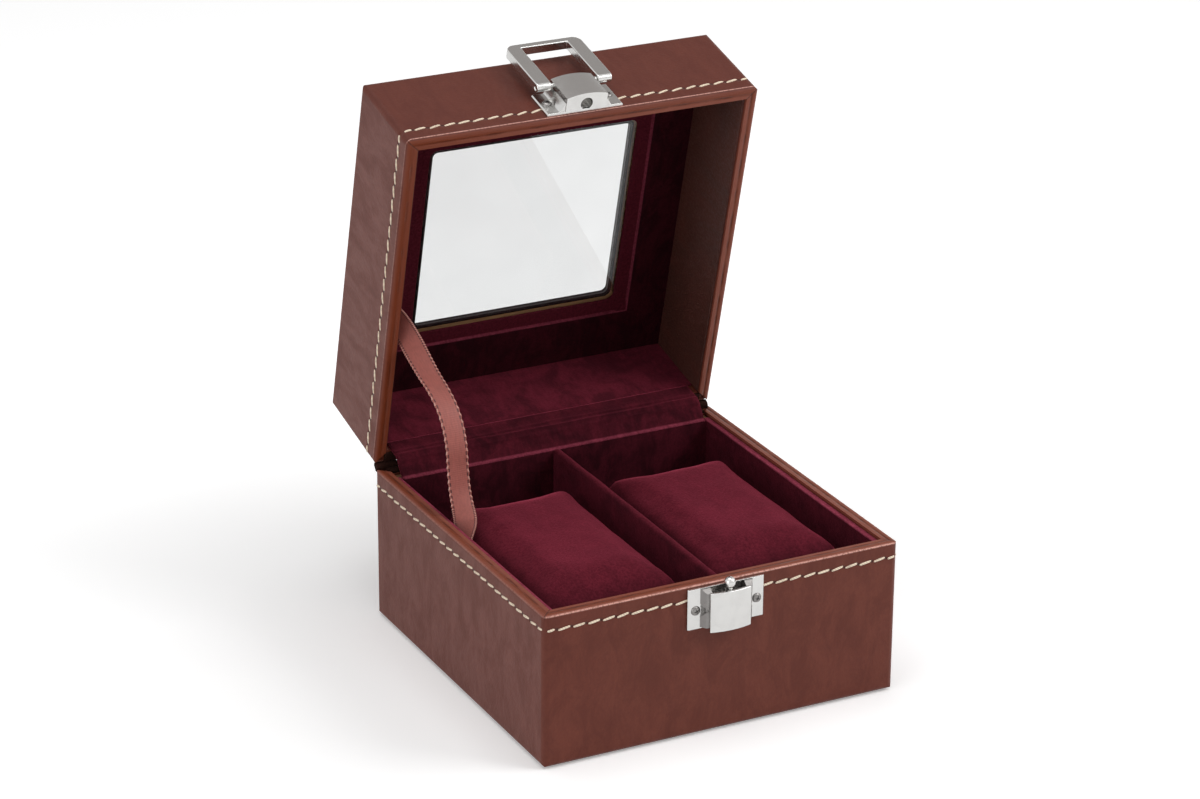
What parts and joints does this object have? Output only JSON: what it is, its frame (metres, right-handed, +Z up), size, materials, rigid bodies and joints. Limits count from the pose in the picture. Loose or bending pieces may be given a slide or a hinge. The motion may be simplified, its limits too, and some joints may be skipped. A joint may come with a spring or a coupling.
{
  "type": "watch travel case",
  "caption": "Leather-covered travel case for watches with a hinged glazed lid, a swing-loop clasp, velvet lining, a stay ribbon and lift-out pillows.",
  "frame": {"origin": "centre of the case's underside, on the surface that it stands on", "axes": "+X to the right along the clasp's face, +Y back to the hinge, +Z up; the lid stands open as in the picture"},
  "size_m": [0.13, 0.1725, 0.1973],
  "materials": {
    "leather": "satin",
    "lining_leather": "satin",
    "board": "matte",
    "batten": "matte",
    "sole_paper": "matte",
    "velvet": "matte",
    "foam": "matte",
    "ribbon_satin": "satin",
    "glass": "polished",
    "black_trim": "matte",
    "hinge_steel": "brushed",
    "chrome": "satin"
  },
  "bodies": {
    "base": {"base_board": "board", "base_leather": "leather", "base_sole": "sole_paper", "base_liner": "velvet", "hinge_batten": "batten", "divider": "velvet", "base_hinge_leaf": "hinge_steel", "base_hinge_screws": "hinge_steel", "hinge_pin": "hinge_steel", "hinge_flap": "velvet", "stay_ribbon": "ribbon_satin", "catch_plate": "chrome", "catch_body": "chrome", "catch_cover": "chrome", "catch_pips": "hinge_steel", "catch_stud": "chrome", "catch_screws": "chrome"},
    "lid": {"lid_board": "board", "lid_leather": "leather", "lid_wall_lining": "lining_leather", "lid_back_lining": "velvet", "window_surround": "velvet", "window_glass": "glass", "window_bead": "black_trim", "lid_hinge_leaf": "hinge_steel", "lid_hinge_screws": "hinge_steel", "hasp_plate": "chrome", "hasp_block": "chrome", "hasp_screws": "chrome"},
    "loop": {"hasp_loop": "chrome", "hasp_pin": "hinge_steel"},
    "pillow_left": {"pillow_left_sleeve": "velvet", "pillow_left_foam": "foam"},
    "pillow_right": {"pillow_right_sleeve": "velvet", "pillow_right_foam": "foam"}
  },
  "joints": [
    {"name": "lid_hinge", "type": "hinge", "parent": "base", "child": "lid", "pos_m": [0, 0.0659, 0.05465], "axis": [-1, 0, 0], "range_deg": [-76, 8], "deforming": ["stay_ribbon", "hinge_flap"]},
    {"name": "loop_swing", "type": "hinge", "parent": "lid", "child": "loop", "pos_m": [0, 0.04486, 0.18967], "axis": [1, 0, 0], "range_deg": [0, 173.5]},
    {"name": "pillow_left_lift", "type": "slide", "parent": "base", "child": "pillow_left", "axis": [0, 0, 1], "range_m": [0, 0.03]},
    {"name": "pillow_right_lift", "type": "slide", "parent": "base", "child": "pillow_right", "axis": [0, 0, 1], "range_m": [0, 0.03]}
  ]
}
